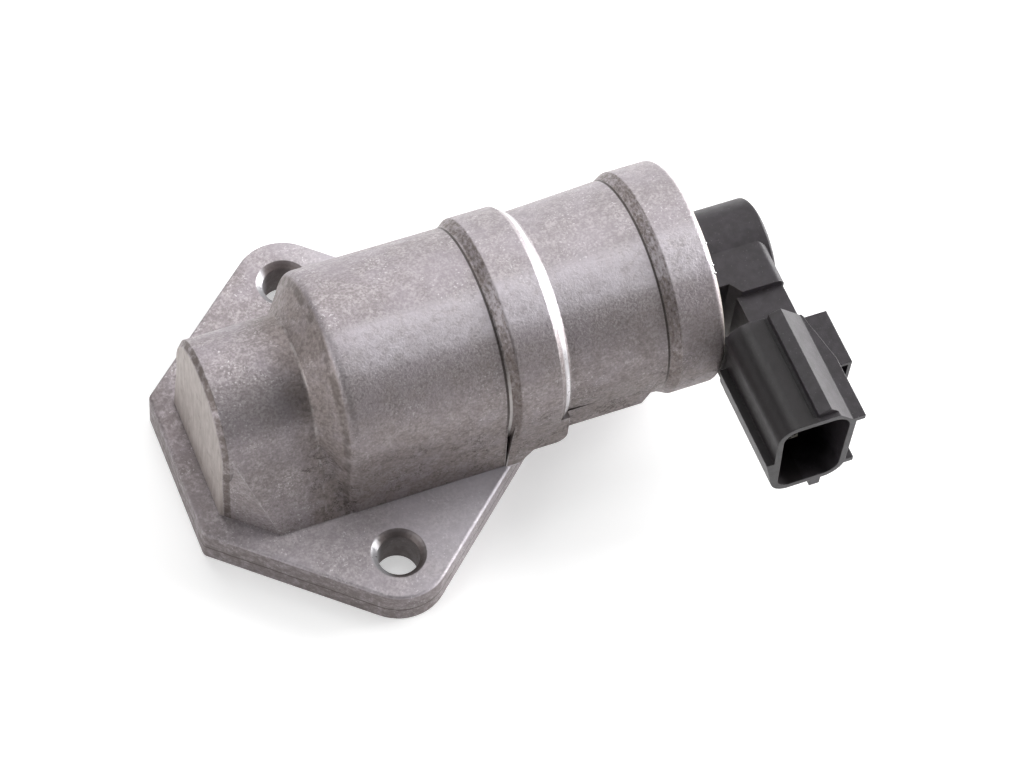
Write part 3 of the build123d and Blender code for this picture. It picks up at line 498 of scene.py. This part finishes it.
def even_finish(name, dark, pale, rough, grain, gloss_range, metallic, depth):
    """Finish that varies only a little: colour between dark and pale in patches about grain
    millimetres across, gloss in patches twice as large, and a finer bump depth millimetres deep."""
    material, tree, shader = new_material(name)
    n = Nodes(tree)
    colour = n.mix(n.ramp(n.noise(grain, 4.0, 0.6), 0.3, 0.7), dark, pale)
    gloss = n.ramp(n.noise(grain * 2, 3.0, 0.5), 0.3, 0.7, rough - gloss_range, rough + gloss_range)
    tree.links.new(colour, shader.inputs["Base Color"])
    tree.links.new(gloss, shader.inputs["Roughness"])
    shader.inputs["Metallic"].default_value = metallic
    tree.links.new(n.bump(n.noise(grain / 2, 3.0, 0.6), depth), shader.inputs["Normal"])
    return material


def plain_metal(name, dark, pale, rough):
    """Drawn or turned metal with fine variation of colour and gloss."""
    return even_finish(name, dark, pale, rough, grain=0.5, gloss_range=0.06, metallic=0.9, depth=0.01)


def plain_soft(name, dark, pale, rough):
    """Rubber or plain plastic with a matt, slightly uneven skin."""
    return even_finish(name, dark, pale, rough, grain=0.8, gloss_range=0.05, metallic=0.0, depth=0.015)


def copper_winding():
    """Enamelled wire laid turn by turn: a sine wave along the barrel axis, one wire wide, with painted shade
    between the turns and a painted highlight on their crowns.
    """
    wire_width = 0.4
    material, tree, shader = new_material("copper_winding")
    n = Nodes(tree)
    turns = n.math("SINE", n.times(n.x, 2 * pi / wire_width))
    turns = n.math("ADD", n.times(turns, 0.5), 0.5)
    # colour follows the wave: painted shade between the turns, painted highlight on their crowns
    tree.links.new(n.mix(turns, (0.26, 0.09, 0.04), (0.62, 0.27, 0.14)), shader.inputs["Base Color"])
    shader.inputs["Metallic"].default_value = 0.85
    shader.inputs["Roughness"].default_value = 0.32
    tree.links.new(n.bump(turns, 0.12), shader.inputs["Normal"])
    return material


FINISHES = {
    "cast_aluminium": cast_aluminium(),
    "turned_aluminium": plain_metal("turned_aluminium", (0.55, 0.55, 0.56), (0.74, 0.74, 0.75), 0.30),
    "steel": plain_metal("plated_steel", (0.40, 0.39, 0.38), (0.60, 0.59, 0.57), 0.34),
    "bronze": plain_metal("sintered_bronze", (0.40, 0.27, 0.12), (0.62, 0.45, 0.22), 0.42),
    "copper": copper_winding(),
    "terminal_brass": plain_metal("tinned_brass", (0.62, 0.60, 0.52), (0.80, 0.78, 0.70), 0.26),
    "rubber": plain_soft("seal_rubber", (0.016, 0.016, 0.017), (0.035, 0.034, 0.034), 0.62),
    "bobbin_plastic": plain_soft("bobbin_plastic", (0.60, 0.57, 0.48), (0.72, 0.69, 0.60), 0.45),
    "black_plastic": black_plastic(),
}


def dress_nodes():
    """Give each solid of the part the finish of its material slot."""
    slot_of = {entry["node"]: entry["material_slot"] for entry in frame["record"]["subparts"]}
    for name, node in frame["nodes"].items():
        node.data.materials.clear()
        node.data.materials.append(FINISHES[slot_of[name]])


# Pieces that the solids leave to this script

def crimp_burr():
    """A wire-thin ring round the rim's end, with the burrs that the crimping tool has pushed out.
    Its section is a circle, a little flattened along the barrel. The radius is a small constant
    times one plus a share of five summed sine waves round the ring, plus a bell-shaped bump at
    each burr's angle, and it is never under a least thickness."""
    turns = np.linspace(0, 2 * pi, BURR_STEPS, endpoint=False)
    section = np.linspace(0, 2 * pi, BURR_SIDES, endpoint=False)
    ripple = sum(np.sin(turns * k + k * k) / k for k in BURR_WAVES)
    thickness = BURR_THICKNESS * (1 + BURR_RIPPLE * ripple)
    for degrees_up, height in BURRS:
        away = (turns - radians(degrees_up) + pi) % (2 * pi) - pi
        thickness = thickness + height * np.exp(-(away / BURR_SPREAD) ** 2)
    thickness = np.maximum(thickness, BURR_LEAST_THICKNESS)[:, None]
    ring = BURR_RADIUS + thickness * np.cos(section)
    x = BURR_PLACE - thickness * np.sin(section) * BURR_FLATNESS
    y = ring * np.cos(turns)[:, None]
    z = AXIS_HEIGHT + ring * np.sin(turns)[:, None]
    points = np.stack([x, y, z], -1).reshape(-1, 3)
    piece = mesh_piece("crimp_burr", points, grid_faces(BURR_STEPS, BURR_SIDES, wrap_rows=True))
    piece.data.materials.append(FINISHES["turned_aluminium"])
    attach(piece, "valve_body")


def coil_spring(name, node, wire, turns):
    """The wire of the spring that node stands for.
    A circle of radius wire is carried along a helix round the barrel axis, in the plane of the
    outward direction and of its cross product with the tangent. A fan of triangles closes each
    end. Along the axis the wire fills the node's box."""
    low, high = (np.array(corner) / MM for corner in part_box(node))
    radius = (high[2] - low[2]) / 2 - wire
    span = high[0] - low[0] - 2 * wire
    path = np.linspace(0, 1, turns * COIL_STEPS + 1)[:, None]
    around = np.linspace(0, 2 * pi, WIRE_SIDES, endpoint=False)[None, :, None]
    angle = 2 * pi * turns * path
    zero = np.zeros_like(angle)
    outward = np.concatenate([zero, np.cos(angle), np.sin(angle)], -1)
    centre = radius * outward + np.array([low[0] + wire, 0, AXIS_HEIGHT])
    centre[:, :1] += span * path
    advance = zero + span / (2 * pi * turns)
    tangent = np.concatenate([advance, -radius * np.sin(angle), radius * np.cos(angle)], -1)
    tangent /= np.linalg.norm(tangent, axis=1, keepdims=True)
    sideways = np.cross(tangent, outward)
    circle = np.cos(around) * outward[:, None] + np.sin(around) * sideways[:, None]
    rings = centre[:, None] + wire * circle
    points = np.concatenate([rings.reshape(-1, 3), centre[:1], centre[-1:]])

    rows = len(path)
    ring_points = rows * WIRE_SIDES
    side = np.arange(WIRE_SIDES)
    beside = (side + 1) % WIRE_SIDES
    last_ring = ring_points - WIRE_SIDES
    near_end = np.stack([np.full_like(side, ring_points), beside, side], -1)
    far_end = np.stack([np.full_like(side, ring_points + 1), last_ring + side, last_ring + beside], -1)
    faces = [*grid_faces(rows, WIRE_SIDES).tolist(), *near_end.tolist(), *far_end.tolist()]

    piece = mesh_piece(name, points, faces)
    piece.data.materials.append(FINISHES["steel"])
    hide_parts(node)
    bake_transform(piece)


# Stage, light and camera

def place_camera():
    """The camera of the photograph: about 55 cm off, on a long lens, rolled a little."""
    azimuth = radians(CAMERA_AZIMUTH)
    elevation = radians(CAMERA_ELEVATION)
    roll = radians(CAMERA_ROLL)
    look = Vector((sin(azimuth) * cos(elevation), cos(azimuth) * cos(elevation), -sin(elevation)))
    level_right = Vector((cos(azimuth), -sin(azimuth), 0))
    level_up = level_right.cross(look)
    right = cos(roll) * level_right + sin(roll) * level_up
    up = -sin(roll) * level_right + cos(roll) * level_up
    place = (-CAMERA_DISTANCE * look + CAMERA_DRIFT_RIGHT * right + CAMERA_DRIFT_UP * up) * MM
    data = bpy.data.cameras.new("camera")
    data.sensor_width = SENSOR_WIDTH
    data.lens = FOCAL_PIXELS / FRAME_WIDTH * SENSOR_WIDTH
    data.clip_start = 0.01
    data.clip_end = 20
    camera = bpy.data.objects.new("camera", data)
    turn = Matrix((right, up, -look)).transposed().to_4x4()
    camera.matrix_world = Matrix.Translation(place) @ turn
    bpy.context.scene.collection.objects.link(camera)
    bpy.context.scene.camera = camera


def place_floor():
    """Wide pale floor just under the flange, which glows a little to the camera and in gloss."""
    half = FLOOR_HALF
    outline = ((-half, -half), (half, -half), (half, half), (-half, half))
    floor = mesh_piece("floor", [(x, y, -FLOOR_GAP) for x, y in outline], [(0, 1, 2, 3)], smooth=False)
    material, tree, shader = new_material("pale_floor")
    n = Nodes(tree)
    rays = tree.nodes.new("ShaderNodeLightPath").outputs
    seen = n.most(rays["Is Camera Ray"], rays["Is Glossy Ray"], rays["Is Transmission Ray"])
    tree.links.new(n.times(seen, FLOOR_GLOW), shader.inputs["Emission Strength"])
    shader.inputs["Emission Color"].default_value = (1, 1, 1, 1)
    shader.inputs["Base Color"].default_value = (FLOOR_GREY, FLOOR_GREY, FLOOR_GREY, 1)
    shader.inputs["Roughness"].default_value = 0.9
    shader.inputs["Specular IOR Level"].default_value = 0.0
    floor.data.materials.append(material)


def place_world():
    """White surroundings for the camera, a very dim pale dome for everything else."""
    world = bpy.data.worlds.new("studio")
    bpy.context.scene.world = world
    world.use_nodes = True
    tree = world.node_tree
    background = tree.nodes["Background"]
    n = Nodes(tree)
    rays = tree.nodes.new("ShaderNodeLightPath").outputs
    strength = n.math("MAXIMUM", rays["Is Camera Ray"], DOME_STRENGTH)
    background.inputs["Color"].default_value = (1, 1, 1, 1)
    tree.links.new(strength, background.inputs["Strength"])


def area_light(name, place, size, power):
    """Square soft box at place, in millimetres, aimed at the object."""
    data = bpy.data.lights.new(name, "AREA")
    data.shape = "SQUARE"
    data.size = size * MM
    data.energy = power
    lamp = bpy.data.objects.new(name, data)
    lamp.location = Vector(place) * MM
    lamp.rotation_euler = (Vector(LAMP_AIM) - Vector(place)).to_track_quat("-Z", "Y").to_euler()
    bpy.context.scene.collection.objects.link(lamp)


dress_nodes()
crimp_burr()
coil_spring("return_spring_wire", "return_spring", RETURN_WIRE, RETURN_TURNS)
coil_spring("front_spring_wire", "front_spring", FRONT_WIRE, FRONT_TURNS)
place_camera()
place_floor()
place_world()
for lamp_name, lamp_place, lamp_size, lamp_power in LAMPS:
    area_light(lamp_name, lamp_place, lamp_size, lamp_power)

bpy.context.scene.view_settings.view_transform = "Standard"
